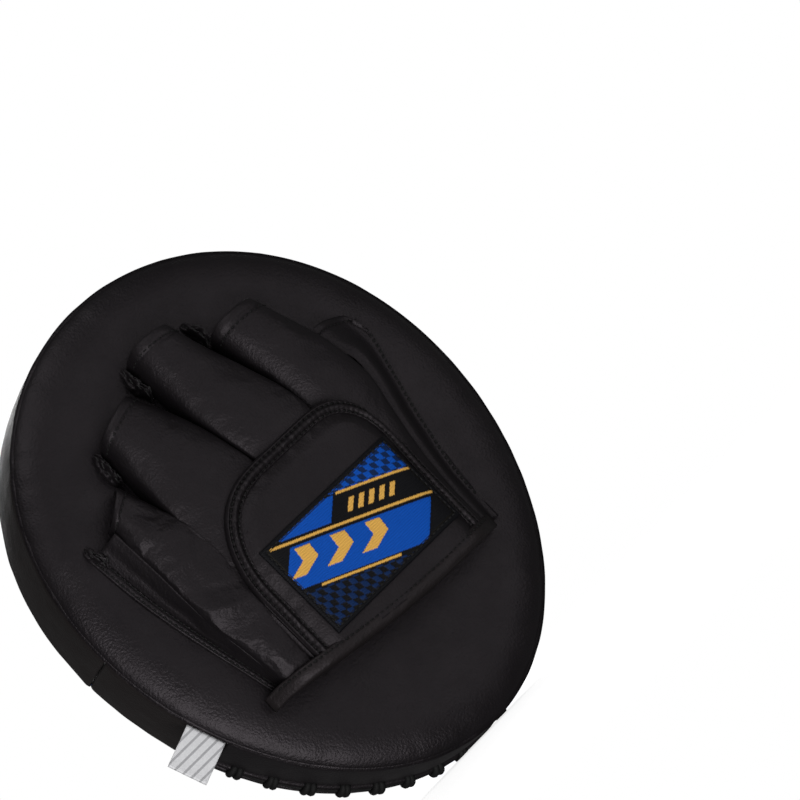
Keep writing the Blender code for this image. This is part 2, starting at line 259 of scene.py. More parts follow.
def sheet(name, points, surface, thick, inside, wrap=False):
    """A piece of cloth or leather from a grid of points. A wrapped one is capped in the middle."""
    rows, columns = points.shape[:2]
    faces = grid_faces(rows, columns, wrap)
    if wrap:
        faces.append(list(range(columns)))
    made = mesh_object(name, points.reshape(-1, 3), faces, surface)
    face_out(made, inside)
    solidify = made.modifiers.new("thickness", "SOLIDIFY")
    solidify.thickness = thick * MM
    solidify.offset = -1.0
    solidify.use_rim = True
    return made


def tube_points(path, radius, steps):
    """Rings of points round a path."""
    run = np.gradient(path, axis=0)
    run /= np.linalg.norm(run, axis=1)[:, None] + 1e-9
    off_axis = np.array((0.31, 0.59, 0.74))
    side = np.cross(run, off_axis)
    side /= np.linalg.norm(side, axis=1)[:, None]
    up = np.cross(side, run)
    turn = (2 * math.pi * np.arange(steps) / steps)[None, :, None]
    ring = side[:, None] * np.cos(turn) + up[:, None] * np.sin(turn)
    return path[:, None] + ring * np.broadcast_to(radius, (len(path),))[:, None, None]


def tube_faces(rings, steps, start=0):
    """Faces of a tube of points, closed at both ends."""
    last = start + (rings - 1) * steps
    ends = [list(range(start, start + steps)), list(range(last, last + steps))[::-1]]
    return grid_faces(rings, steps, wrap=True, start=start) + ends


def tubes(name, paths, radii, surface, steps):
    """Several closed tubes in one piece. Each radius is a number or one number per point."""
    points, faces = [], []
    for path, radius in zip(paths, radii):
        rings = tube_points(np.asarray(path, float), radius, steps)
        faces += tube_faces(len(rings), steps, start=len(points))
        points += rings.reshape(-1, 3).tolist()
    made = mesh_object(name, points, faces, surface)
    face_out(made)
    return made


def stitches(name, lines, surface, body, lift):
    """Rows of sewn thread. Each line is (points, outward direction)."""
    sunk = np.array((0.45, 0.1, 0.0, 0.1, 0.45))[:, None]
    paths = []
    for line, outward in lines:
        line = np.asarray(line, float) + np.asarray(outward, float) * lift
        run = walked(line)
        for k in range(int(run[-1] // STITCH_PITCH)):
            start = (k + 0.5) * STITCH_PITCH - STITCH / 2
            spots = start + np.array((0.0, 0.12, 0.5, 0.88, 1.0)) * STITCH
            out = read_along(np.broadcast_to(outward, line.shape), run, spots)
            paths.append(read_along(line, run, spots) - out * sunk)
    widths = [np.array((0.5, 0.9, 1.0, 0.9, 0.5)) * THREAD] * len(paths)
    made = tubes(name, paths, widths, surface, steps=6)
    dress(made, body)
    return made


def sew(name, lines, body=None, shade=DARK_THREAD, lift=0.12):
    """Rows of stitches in a thread of their own."""
    return stitches(name + "_stitches", lines, thread(name + "_thread", shade), body, lift)


def settle(made, held, slack):
    """Lets a leather sheet swell and wrinkle as cloth. held is 1 where it is sewn down.

    slack is how much too large the sheet is cut, as a share.
    """
    reach = 0.8 * MM
    frames = 14
    rest = np.array([v.co for v in made.data.vertices], float)
    group = made.vertex_groups.new(name="held")
    for i, weight in enumerate(held):
        group.add([i], float(weight), "REPLACE")
    made.modifiers["thickness"].show_viewport = False
    cloth = made.modifiers.new("settle", "CLOTH")
    settings = {
        "vertex_group_mass": "held",
        "quality": 6,
        "mass": 0.2,
        "tension_stiffness": 12.0,
        "compression_stiffness": 12.0,
        "shear_stiffness": 4.0,
        "bending_stiffness": 0.02,
        "shrink_min": -slack,
        "use_pressure": True,
        "uniform_pressure_force": 5.0,
    }
    for key, value in settings.items():
        setattr(cloth.settings, key, value)
    cloth.settings.effector_weights.gravity = 0.0
    cloth.collision_settings.use_collision = False
    cloth.collision_settings.use_self_collision = False
    scene = bpy.context.scene
    for number in range(1, frames + 1):
        scene.frame_set(number)
    shaped = made.evaluated_get(bpy.context.evaluated_depsgraph_get())
    move = np.array([v.co for v in shaped.data.vertices], float) - rest
    scene.frame_set(1)
    made.modifiers.remove(cloth)
    size = np.linalg.norm(move, axis=1)[:, None] + 1e-12
    move *= reach * np.tanh(size / reach) / size
    made.data.vertices.foreach_set("co", (rest + move).astype(np.float32).ravel())
    made.data.update()
    made.modifiers["thickness"].show_viewport = True


# ------------ materials

class Nodes:
    """Short calls for building one material's node tree."""

    def __init__(self, name):
        self.material = bpy.data.materials.new(name)
        self.material.use_nodes = True
        self.tree = self.material.node_tree
        self.shader = self.tree.nodes["Principled BSDF"]
        self.place = self.add("ShaderNodeTexCoord").outputs["Object"]

    def add(self, kind, **settings):
        node = self.tree.nodes.new(kind)
        for key, value in settings.items():
            setattr(node, key, value)
        return node

    def put(self, target, value):
        """A socket takes a link or a plain value."""
        if isinstance(value, bpy.types.NodeSocket):
            self.tree.links.new(value, target)
        else:
            target.default_value = value

    def fill(self, node, **values):
        """Fills a node's sockets by name, with _ for a space."""
        for key, value in values.items():
            self.put(node.inputs[key.replace("_", " ")], value)
        return node

    def maths(self, operation, first, second=0.0):
        node = self.add("ShaderNodeMath", operation=operation)
        self.put(node.inputs[0], first)
        self.put(node.inputs[1], second)
        return node.outputs[0]

    def plus(self, first, second):
        return self.maths("ADD", first, second)

    def times(self, first, second):
        return self.maths("MULTIPLY", first, second)

    def within(self, value, middle, half):
        """1 where a value is nearer to the middle than half."""
        offset = self.maths("ABSOLUTE", self.maths("SUBTRACT", value, middle))
        return self.maths("LESS_THAN", offset, half)

    def axes(self):
        """The across and along parts of the place."""
        split = self.add("ShaderNodeSeparateXYZ")
        self.put(split.inputs[0], self.place)
        return split.outputs["X"], split.outputs["Z"]

    def noise(self, scale, detail=2.0):
        node = self.add("ShaderNodeTexNoise")
        self.fill(node, Vector=self.place, Scale=scale, Detail=detail)
        return node.outputs["Fac"]

    def cells(self, scale, feature="SMOOTH_F1"):
        node = self.add("ShaderNodeTexVoronoi", feature=feature)
        return self.fill(node, Vector=self.place, Scale=scale).outputs["Distance"]

    def spread(self, value, low, high, to_low, to_high):
        node = self.add("ShaderNodeMapRange")
        self.fill(node, Value=value, From_Min=low, From_Max=high, To_Min=to_low, To_Max=to_high)
        return node.outputs["Result"]

    def patches(self, scale, low, high, detail=2.0):
        """Soft patches between two values."""
        return self.spread(self.noise(scale, detail), 0.3, 0.7, low, high)

    def mix(self, share, first, second):
        node = self.add("ShaderNodeMix", data_type="RGBA")
        self.put(node.inputs["Factor"], share)
        self.put(node.inputs[6], first)
        self.put(node.inputs[7], second)
        return node.outputs[2]

    def relief(self, height, distance, strength=1.0, **below):
        node = self.add("ShaderNodeBump")
        self.fill(node, Height=height, Distance=distance, Strength=strength, **below)
        return node.outputs["Normal"]

    def finish(self, base, rough, **others):
        """The material with its shader filled."""
        self.fill(self.shader, Base_Color=base, Roughness=rough, **others)
        return self.material


def colour(red, green, blue):
    return (red, green, blue, 1.0)


def grey(shade):
    return colour(shade, shade, shade)


def black_leather(piece, shift=0.0, rough=(0.46, 0.55)):
    """Black leather: pebbled grain, mottling and worn folds. shift makes it lighter, warmer."""
    dark = colour(0.0032 + shift, 0.0026 + shift * 0.75, 0.0031 + shift * 0.45)
    light = colour(0.0076 + shift, 0.0064 + shift * 0.75, 0.0072 + shift * 0.45)
    grain = 1000.0
    made = Nodes(piece + "_leather")
    worn = made.spread(made.add("ShaderNodeNewGeometry").outputs["Pointiness"], 0.505, 0.56, 0, 1)
    scuff = made.times(worn, made.spread(made.noise(260.0), 0.45, 0.7, 0.0, 0.6))
    tone = made.plus(made.patches(38.0, 0.0, 0.55, 4.0), scuff)
    pebbles = made.plus(made.cells(grain), made.patches(grain * 1.7, 0.0, 0.4))
    fine = made.relief(pebbles, 0.16 * MM, 0.9)
    folds = made.relief(made.noise(120.0), 0.18 * MM, 0.18, Normal=fine)
    return made.finish(
        made.mix(tone, dark, light),
        made.patches(95.0, *rough, 3.0),
        Normal=folds,
        Specular_IOR_Level=0.25,
        Specular_Tint=colour(1.0, 0.90, 0.97),
    )


def metallic_blue(name):
    """Metallised blue leather with a fine grain and a printed gold target and bars."""
    made = Nodes(name)
    tone = made.patches(120.0, 0.0, 1.0, 5.0)
    blue = made.mix(tone, colour(0.010, 0.100, 0.72), colour(0.012, 0.115, 0.82))
    speck = made.patches(800.0, 0.0, 1.0)
    gold = made.mix(speck, colour(0.56, 0.26, 0.022), colour(0.74, 0.38, 0.045))
    printed = target_print(made)
    rough = made.plus(made.patches(60.0, 0.34, 0.40, 3.0), made.times(printed, 0.12))
    grain = made.relief(made.cells(900.0), 0.12 * MM, 0.8)
    return made.finish(
        made.mix(printed, blue, gold),
        rough,
        Normal=made.relief(made.noise(140.0, 4.0), 0.15 * MM, 0.4, Normal=grain),
        Metallic=made.spread(printed, 0.0, 1.0, 0.70, 0.15),
        Coat_Weight=0.25,
        Coat_Roughness=0.2,
    )


def target_print(made):
    """1 on the printed ring, dot and slanted bars of the strike face, 0 beside them."""
    across, along = made.axes()
    lifted = made.maths("SUBTRACT", along, 18.0 * MM)
    radius = made.maths("SQRT", made.plus(made.times(across, across), made.times(lifted, lifted)))
    mask = 0.0
    for middle, half in ((0.0, 7.5), (23.5, 3.0), (42.0, 4.8)):
        mask = made.maths("MAXIMUM", mask, made.within(radius, middle * MM, half * MM))
    slant = made.plus(across, made.times(along, 0.45))
    low_row = made.within(along, -64.0 * MM, 5.5 * MM)
    for middle in (-50.0, -36.0, -22.0, -8.0):
        bar = made.times(made.within(slant, middle * MM, 4.5 * MM), low_row)
        mask = made.maths("MAXIMUM", mask, bar)
    return mask


def thread(name, shade):
    """Twisted sewing thread."""
    made = Nodes(name)
    fibre = made.noise(2600.0)
    base = made.mix(fibre, grey(shade), colour(shade * 2.4, shade * 2.3, shade * 2.4))
    relief = made.relief(fibre, 0.1 * MM)
    return made.finish(base, 0.7, Normal=relief, Specular_IOR_Level=0.2)


def woven(name, dark, light):
    """Plain weave cloth."""
    made = Nodes(name)
    threads = 2 * math.pi * 0.9 / MM
    warp, weft = [made.maths("SINE", made.times(axis, threads)) for axis in made.axes()]
    weave = made.spread(made.times(warp, weft), -1.0, 1.0, 0.0, 1.0)
    tone = made.times(weave, made.patches(90.0, 0.5, 1.0))
    relief = made.relief(weave, 0.2 * MM, 0.8)
    return made.finish(made.mix(tone, dark, light), 0.85, Normal=relief, Sheen_Weight=0.05)


def embroidered(name):
    """Satin threads whose colour is stored on the mesh, with a fine diagonal thread relief."""
    made = Nodes(name)
    stored = made.add("ShaderNodeAttribute", attribute_name="thread_colour").outputs["Color"]
    across, along = made.axes()
    ribs = made.maths("SINE", made.times(made.plus(across, made.times(along, 0.6)), 9000.0))
    cross = made.maths("SINE", made.times(along, 6500.0))
    weave = made.spread(made.plus(ribs, cross), -2.0, 2.0, 0.0, 1.0)
    shade = made.mix(made.spread(weave, 0.0, 1.0, 0.28, 0.0), stored, grey(0.0))
    fine = made.relief(made.noise(2200.0), 0.1 * MM, 0.5)
    relief = made.relief(weave, 0.16 * MM, 0.8, Normal=fine)
    return made.finish(shade, 0.6, Normal=relief, Specular_IOR_Level=0.12)


def satin_label(name):
    """White satin ribbon with a few plain grey printed stripes."""
    made = Nodes(name)
    run = made.times(made.axes()[1], 1 / (3.2 * MM))
    stripe = made.maths("LESS_THAN", made.maths("FRACT", run), 0.28)
    fibre = made.noise(1500.0)
    white = made.mix(fibre, colour(0.50, 0.50, 0.52), colour(0.66, 0.66, 0.67))
    base = made.mix(made.times(stripe, 0.55), white, colour(0.10, 0.10, 0.11))
    return made.finish(base, 0.38, Normal=made.relief(fibre, 0.08 * MM), Sheen_Weight=0.3)


def foam(name, shade):
    """Closed-cell foam with fine pores."""
    made = Nodes(name)
    pores = made.cells(700.0, "F1")
    base = made.mix(pores, grey(shade * 0.7), grey(shade))
    return made.finish(base, 0.95, Normal=made.relief(pores, 0.3 * MM, 0.9))


# ------------ the padded body

def pad_skin(name, node, surface, sign, seed, crumple, gather):
    """A leather skin over one face of the pad, gathered where it meets the band."""
    flat, seam, seam_inset = PAD_BACK, BACK_SEAM, 0.0
    if sign > 0:
        flat, seam, seam_inset = 0.0, STRIKE_SEAM, STRIKE_INSET
    middle_rings = 30
    bend = np.linspace(0.0, math.pi / 2, 19)[1:]
    scale = np.concatenate([np.linspace(0.04, 1.0, middle_rings), np.ones(len(bend))])[:, None]
    bend = np.concatenate([np.zeros(middle_rings), bend])[:, None]
    inset = SHOULDER - (SHOULDER - seam_inset) * np.sin(bend)
    climb = 1 - np.cos(bend)
    turn = np.arange(360.0)
    x, z = rim(inset, turn)
    x, z = x * scale, z * scale
    to_seam = inset - seam_inset + (1 - scale) * HALF_WIDTH
    swell = crumple * (noise(x, z, 34.0, seed) + 0.45 * noise(x, z, 13.0, seed + 1))
    folds = np.clip(noise(np.radians(turn) * HALF_WIDTH, 0.0, 5.2, seed + 2), 0, 1)
    folds = gather * folds * bump(to_seam, 8.0) * np.minimum(1.0, climb * 8)
    swell = swell * (1 - bump(to_seam, 6.0)) - folds
    rows = [at(x, flat + sign * (climb * abs(seam - flat) - swell), z)]
    for tucked, past in ((0.15, -0.35), (0.9, -0.18), (2.2, -0.4)):
        x, z = rim(seam_inset + tucked, turn)
        rows.append(at(x, seam + sign * past, z)[None])
    inside = (0.0, -(STRIKE_SEAM + BACK_SEAM) / 2, 0.0)
    made = sheet(name, np.vstack(rows), surface, SKIN, inside, wrap=True)
    dress(made, PAD, node)


def band_piece(name, node, start, end, depths, seed, lip=None):
    """A strip of the side band, bulged between its seams. lip is the edge rolled at the slit."""
    low, high = depths
    turn = np.linspace(start + 0.1, end - 0.1, int(abs(end - start) * 1.7) + 2)
    share = shares(35)
    depth = between(low, high, share)
    arc = np.radians(turn) * HALF_WIDTH
    out = 0.9 * np.sin(math.pi * share) ** 0.5 - 0.2
    out = out + 0.35 * noise(arc, depth, 17.0, seed) + 0.12 * noise(arc, depth, 5.0, seed + 1)
    if lip:
        gap = np.abs(depth - lip)
        out = out + 1.5 * bump(gap - 1.5, 0.9) - 1.6 * bump(gap, 0.6) - 0.7 * bump(gap - 3.4, 0.6)
    tuck = (STRIKE_INSET + 0.6) * bump(depth - STRIKE_SEAM, 2.0)
    tuck = tuck + 1.3 * bump(depth - BACK_SEAM, 0.8)
    butt = 0.48 * (bump(turn - start, 0.5) + bump(turn - end, 0.5))
    x, z = rim(tuck + butt - out, turn)
    # Painted light: the long and short band strips get a lighter, warmer leather than the slit
    # lips, standing in for the warm light that falls on the band.
    surface = black_leather(name, shift=0.0 if lip else 0.0035)
    inside = (0.0, -(low + high) / 2, 0.0)
    made = sheet(name, at(x, depth, z), surface, BAND_LEATHER, inside)
    dress(made, PAD, node)


def build_pad():
    """Both skins, the side band in its four pieces and the foam inside."""
    blue = metallic_blue("strike_metallic")
    black = black_leather("back_skin", rough=(0.40, 0.50))
    pad_skin("strike_skin", "strike_cover", blue, 1, 11, 0.28, 0.25)
    pad_skin("back_skin", "back_cover", black, -1, 21, 0.45, 0.75)
    front, back = STRIKE_SEAM, BACK_SEAM + 0.1
    band_piece("band_long", "side_band_long", SLIT_TO - 360, BUTT_SEAM, (front, back), 31)
    band_piece("band_short", "side_band_short", BUTT_SEAM, SLIT_FROM, (front, back), 32)
    slit = (SLIT_FROM, SLIT_TO)
    lip = SLIT_DEPTH - 0.2
    band_piece("closure_lip_front", "closure_strip_front", *slit, (front, lip), 33, lip)
    lip = SLIT_DEPTH + 0.2
    band_piece("closure_lip_back", "closure_strip_back", *slit, (lip, back), 34, lip)
    seam_threads()
    for node, shade in (("strike_foam", 0.35), ("core_foam", 0.06), ("back_foam", 0.5)):
        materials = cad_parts[node].data.materials
        materials.clear()
        materials.append(foam(node + "_cells", shade))


def seam_threads():
    """The thread that shows in the two grooves between the skins and the band."""
    turn = np.linspace(0.0, 360.0, 721)
    outward = at(np.cos(np.radians(turn)), 0.0, np.sin(np.radians(turn)))
    lines = []
    for depth, inset in ((STRIKE_SEAM - 0.05, STRIKE_INSET + 0.5), (BACK_SEAM + 0.05, 0.55)):
        x, z = rim(inset, turn)
        lines.append((at(x, depth, z), outward))
    cotton = thread("seam_thread_cotton", 0.003)
    stitches("seam_thread", lines, cotton, PAD, lift=0.25)


def build_lace():
    """Whip stitches in pairs over the two rolled lips of the slit, joined inside it."""
    first, pitch = SLIT_FROM + 4.5, 7.7
    t = np.linspace(-1.0, 1.0, 15)
    paths, radii = [], []
    for k, centre in enumerate(np.arange(first, SLIT_TO - 1.0, pitch)):
        for strand, offset in enumerate((-0.72, 0.66)):
            sway = 0.18 * math.sin(3.1 * k + strand)
            turn = centre + offset * (1 - 0.35 * t**2) + sway + 0.3 * t
            x, z = rim(1.3 - 3.9 * np.cos(t * math.pi / 2) ** 0.4, turn)
            paths.append(at(x, SLIT_DEPTH + (3.3 + 0.3 * sway) * t, z))
            radii.append(1.45)
    turn = np.linspace(SLIT_FROM + 3.0, SLIT_TO - 2.0, 90)
    x, z = rim(-1.1, turn)
    paths.append(at(x, SLIT_DEPTH + 0.6 * np.sin(2 * math.pi * (turn - first) / pitch), z))
    radii.append(0.8)
    made = tubes("lace", paths, radii, thread("lace_cotton", DARK_THREAD), steps=10)
    dress(made, PAD, "lace_cord")


def build_label():
    """The satin label: a ribbon folded back on itself, with a slight wave."""
    low, high = node_box("care_label")
    width, length, half_gap = 16.0, 18.0, 0.32
    root = rim(0.0, LABEL_ANGLE)
    run = np.subtract(rim(0.0, LABEL_ANGLE + 0.5), rim(0.0, LABEL_ANGLE - 0.5))
    run /= np.linalg.norm(run)
    out = (run[1], -run[0])
    u = np.linspace(-0.5, 0.5, 21) * width
    t = shares(41)
    reach = 0.2 + np.minimum(t, 1 - t) * 2 * length
    side = np.where(t < 0.5, -half_gap, half_gap)
    fold = np.sqrt(np.clip(1 - bump(reach - length - 0.2, 0.6), 0.0, 1.0))
    wave = (0.55 * np.sin(reach * 0.33) + 0.5 * (u / width) ** 2) * reach / length
    x, z = (root[i] + out[i] * reach + run[i] * u for i in (0, 1))
    points = at(x, (low[1] + high[1]) / 2 + wave + side * fold, z)
    inside = points.reshape(-1, 3).mean(0) + (0, 40, 0)
    made = sheet("care_label_ribbon", points, satin_label("label_ribbon"), 0.16, inside)
    dress(made, "label", "care_label")


# ------------ the hand cover

def corner(centre, reach, power, start, end):
    """A rounded corner: part of a squarish oval round a centre, from one angle to another."""
    turn = np.radians(np.linspace(start, end, 60))
    return np.stack(squarish(turn, (2 / power, 2 / power)), axis=1) * reach + centre


def overlay_outline():
    """The free edge of the knuckle overlay, from the wrist on the little finger's side round."""
    left, right, top = OVERLAY_LOW[0] + 2.6, OVERLAY_HIGH[0], KNUCKLE + 0.5
    start = (left - 0.4, wrist_edge(left) + 3.0)
    near = corner((-8.0, -22.0), (-8.0 - left, top + 22.0), 2.2, 180.0, 90.0)
    far = corner((24.0, -6.0), (right - 24.0, top + 6.0), 2.1, 90.0, 0.0)
    ends = [(right - 2.0, -24.0), (right - 3.0, wrist_edge(right) + 3.0)]
    corners = np.vstack([start, near, far, ends])
    run = walked(corners)
    points = read_along(corners, run, np.linspace(0, run[-1], 620))
    reach = 20
    soft = np.ones(2 * reach + 1) / (2 * reach + 1)
    padded = np.pad(points, ((reach, reach), (0, 0)), mode="edge")
    evened = np.stack([np.convolve(axis, soft, mode="valid") for axis in padded.T], axis=1)
    evened[[0, -1]] = points[[0, -1]]
    return evened


OUTLINE = overlay_outline()
OUTLINE_RUN = walked(OUTLINE)


def inset_line(inset):
    """Across and along places of the overlay's edge moved inwards."""
    run = np.gradient(OUTLINE, axis=0)
    run /= np.linalg.norm(run, axis=1)[:, None]
    return OUTLINE[:, 0] + run[:, 1] * inset, OUTLINE[:, 1] - run[:, 0] * inset


def edge_place(x, z):
    """How far each place is from the overlay's free edge, and how far along that edge."""
    places = np.stack(np.broadcast_arrays(x, z), axis=-1)
    nearest = np.full(places.shape[:-1], np.inf)
    along = np.zeros(nearest.shape)
    for part in np.array_split(np.arange(len(OUTLINE)), 20):
        gaps = np.linalg.norm(places[..., None, :] - OUTLINE[part], axis=-1)
        gap = gaps.min(axis=-1)
        along = np.where(gap < nearest, OUTLINE_RUN[part][gaps.argmin(axis=-1)], along)
        nearest = np.minimum(nearest, gap)
    return nearest, along


def overlay_depth(x, z):
    """Depth of the overlay's padded middle, which dips under its sewn edging."""
    inset, run = edge_place(x, z)
    puff = 2.6 * smooth((inset - ROW_INNER + 0.6) / 7.0)
    pulls = 0.40 * noise(x, z, 16.0, 41) + 0.16 * noise(x, z, 6.0, 42)
    pleats = 0.30 * noise(run, inset * 0.3, 3.2, 43) * bump(inset - ROW_INNER - 1.8, 2.6)
    return arch(x) + 1.3 + puff + pulls * smooth((inset - 2.0) / 4.0) + pleats


def edging_height(inset, run):
    """Height of the edging over the cover: two sewn grooves with a lumpy ridge between them."""
    hole = (0.5 + 0.5 * np.cos(2 * math.pi * run / STITCH_PITCH)) ** 1.5
    turned = 2.5 * np.sqrt(np.clip(inset + 0.3, 0.0, 1.0))
    lumps = 0.3 * noise(run, inset * 0.4, 2.3, 47) - 0.18 * hole
    ridge = (0.9 + lumps) * bump(inset - (ROW_OUTER + ROW_INNER) / 2, 0.95)
    row = bump(inset - ROW_OUTER, 0.45) + bump(inset - ROW_INNER, 0.45)
    under = 2.4 * smooth(inset - ROW_INNER - 0.5)
    return turned + ridge - (0.4 + 0.75 * hole) * row - under


def build_edging():
    """The strip folded round the overlay's edge and sewn down with two rows."""
    inset = between(-0.3, EDGING, shares(34))
    x, z = inset_line(inset)
    wave = 0.12 * noise(OUTLINE_RUN, inset, 7.0, 46)
    points = at(x, arch(x) + edging_height(inset, OUTLINE_RUN) + wave, z)
    made = sheet("overlay_edging", points, black_leather("edging"), 0.5, UNDER_HAND)
    dress(made, FLAP)
    lines = []
    for inset in (ROW_OUTER, ROW_INNER):
        x, z = inset_line(inset)
        depth = arch(x) + edging_height(inset, STITCH_PITCH / 2)
        lines.append((at(x, depth, z), OUT_OF_PAD))
    sew("overlay", lines, FLAP, 0.0014, lift=0.05)


def overlay_top(x):
    """Where a line along the hand meets the overlay's knuckle edge."""
    upper = OUTLINE[OUTLINE[:, 1] > -22.0]
    upper = upper[np.argsort(upper[:, 0])]
    return np.interp(x, upper[:, 0], upper[:, 1])


def build_overlay():
    """The padded overlay over the back of the hand and its sewn border."""
    even = np.linspace(0.0, 1.0, 120)
    crowded = 0.5 - 0.5 * np.cos(math.pi * even)
    x = between(OUTLINE[:, 0].min(), OUTLINE[:, 0].max(), between(even, crowded, 0.65))
    z = between(wrist_edge(x) + 2.0, overlay_top(x), shares(96))
    surface = black_leather("overlay")
    made = sheet("overlay", at(x, overlay_depth(x, z), z), surface, LEATHER, UNDER_HAND)
    dress(made, FLAP, "knuckle_overlay")
    build_edging()


def build_hand_back():
    """The leather under the overlay, the smooth cloth that lines it and the foam between."""
    x = np.linspace(OVERLAY_LOW[0] + 1.0, COVER_RIGHT - 0.8, 60)
    z = between(wrist_edge(x) + 3.0, overlay_top(x) - 4.0, shares(40))
    depth = arch(x) + 0.2 * noise(x, z, 11.0, 51)
    made = sheet("hand_back", at(x, depth, z), black_leather("hand_back"), LEATHER, UNDER_HAND)
    dress(made, FLAP, "hand_cover")
    cloth = woven("lining_weave", colour(0.006, 0.006, 0.007), colour(0.03, 0.03, 0.034))
    made = sheet("hand_back_lining", at(x * 0.95, depth - 4.6, z), cloth, 0.5, UNDER_HAND)
    dress(made, FLAP, "hand_cover_lining")
    x = np.linspace(OVERLAY_LOW[0] + 5.0, COVER_RIGHT - 5.0, 40)
    z = between(wrist_edge(x) + 5.0, overlay_top(x) - 7.0, shares(30))
    points = at(x, arch(x) - 1.6 + 0.15 * noise(x, z, 6.0, 55), z)
    made = sheet("dorsal_foam", points, foam("dorsal_foam_cells", 0.45), 2.4, UNDER_HAND)
    dress(made, FLAP, "dorsal_padding")


def build_palm():
    """The cloth that the palm rests on, narrower at the wrist."""
    low, high = node_box("palm_panel")
    share = shares(40)
    z = between(low[2] + 2.0, high[2], share)
    taper = 3.0 + 9.0 * (1 - share) ** 2
    x = between(low[0] + taper, high[0] - taper, np.linspace(0.0, 1.0, 60))
    points = at(x, PAD_BACK + 0.95 + 0.25 * noise(x, z, 14.0, 61), z)
    cloth = woven("palm_weave", colour(0.005, 0.005, 0.006), colour(0.02, 0.02, 0.022))
    made = sheet("palm_cloth", points, cloth, 0.7, (0.0, -20.0, -20.0))
    dress(made, PAD, "palm_panel")


# ------------ the woven patch

GOLD = (0.74, 0.41, 0.085)
BLUE = (0.001, 0.072, 0.42)
DARK_BLUE = (0.003, 0.018, 0.075)
BLACK = (0.0032, 0.0032, 0.0045)
SEAM_BROWN = (0.012, 0.010, 0.006)
PATCH_SLOPE = math.radians(-22.0)
PATCH_START = (-29.0, -8.6)
CHECK = 2.6


def patch_art(x, z):
    """Thread colour and raised height of the patch at each place."""
    c, s = math.cos(PATCH_SLOPE), math.sin(PATCH_SLOPE)
    across, along = x - PATCH_START[0], z - PATCH_START[1]
    u, v = across * c + along * s, along * c - across * s
    lean = u - 0.55 * v
    checks = (np.floor(u / CHECK + v / CHECK / 2) + np.floor(v / CHECK)) % 2 == 0
    shade = np.empty(np.shape(x) + (3,))
    shade[:] = BLACK
    height = np.zeros(np.shape(x))

    def paint(tint, lift, rows, spots, only=True, place=lean):
        """Paints between two rows and two slanted spots."""
        mask = (v > rows[0]) & (v < rows[1]) & (place > spots[0]) & (place < spots[1]) & only
        shade[mask] = tint
        height[mask] = lift

    far = math.inf
    paint(DARK_BLUE, 0.1, (12.0, far), (24.0, far))
    paint(BLUE, 0.22, (12.0, far), (24.0, far), checks)
    paint(BLUE, 0.2, (1.6, 11.5), (4.0, 26.0))
    paint(BLUE, 0.2, (-18.2, -1.8), (9.0, 70.0))
    paint(DARK_BLUE, 0.2, (-far, -20.0), (14.0, far), checks)
    paint(GOLD, 0.4, (-0.55, 0.55), (0.0, 71.0))
    paint(GOLD, 0.4, (11.3, 12.3), (27.0, 64.0))
    paint(GOLD, 0.4, (-19.7, -18.7), (24.0, 58.0))
    bent = lean + 0.8 * np.abs(v + 8.2)
    for arrow in (15.0, 30.0, 45.0):
        paint(GOLD, 0.5, (-13.6, -2.8), (arrow, arrow + 6.4), place=bent)
    for bar in (33.0, 37.5, 42.0, 46.5, 51.0):
        paint(GOLD, 0.35, (3.4, 8.6), (bar, bar + 2.3))
    return shade, height


def patch_base(x, z):
    """The overlay's padded middle without its small folds, for what lies on it."""
    inset, _ = edge_place(x, z)
    return arch(x) + 3.3 + 1.1 * smooth((inset - ROW_INNER) / 9.0) + 0.25 * noise(x, z, 16.0, 41)


def build_patch():
    """The woven patch with an overlocked edge, sewn on the overlay."""
    x0, x1 = PATCH_LOW[0], PATCH_HIGH[0]
    z0, z1 = PATCH_LOW[2], PATCH_HIGH[2]
    x, z = np.meshgrid(np.linspace(x0, x1, 236), np.linspace(z0, z1, 142))
    inset = np.minimum(np.minimum(x - x0, x1 - x), np.minimum(z - z0, z1 - z))
    shade, height = patch_art(x, z)
    border = inset < 1.9
    shade[border] = BLACK
    height[border] = 0.1
    shade[(inset > 2.3) & (inset < 2.7)] = SEAM_BROWN
    edge = 0.55 * np.sqrt(np.clip(inset / 0.7, 0.0, 1.0)) - 0.25 * bump(inset - 2.0, 0.4)
    points = at(x, patch_base(x, z) + height + edge, z)
    made = sheet("patch", points, embroidered("patch_threads"), 0.5, UNDER_HAND)
    stored = made.data.color_attributes.new("thread_colour", "FLOAT_COLOR", "POINT")
    flat = np.concatenate([shade, np.ones(shade.shape[:2] + (1,))], axis=-1)
    stored.data.foreach_set("color", flat.ravel())
    dress(made, FLAP, "woven_patch")
    sewn = 1.76
    left, right, low, high = x0 + sewn, x1 - sewn, z0 + sewn, z1 - sewn
    corners = [(left, high), (right, high), (right, low), (left, low), (left, high)]
    sides = zip(corners[:-1], corners[1:], (90, 60, 90, 60))
    x, z = np.vstack([np.linspace(first, last, count) for first, last, count in sides]).T
    line = at(x, patch_base(x, z) + 0.62, z)
    sew("patch", [(line, OUT_OF_PAD)], FLAP, 0.004)


# ------------ binding and walls

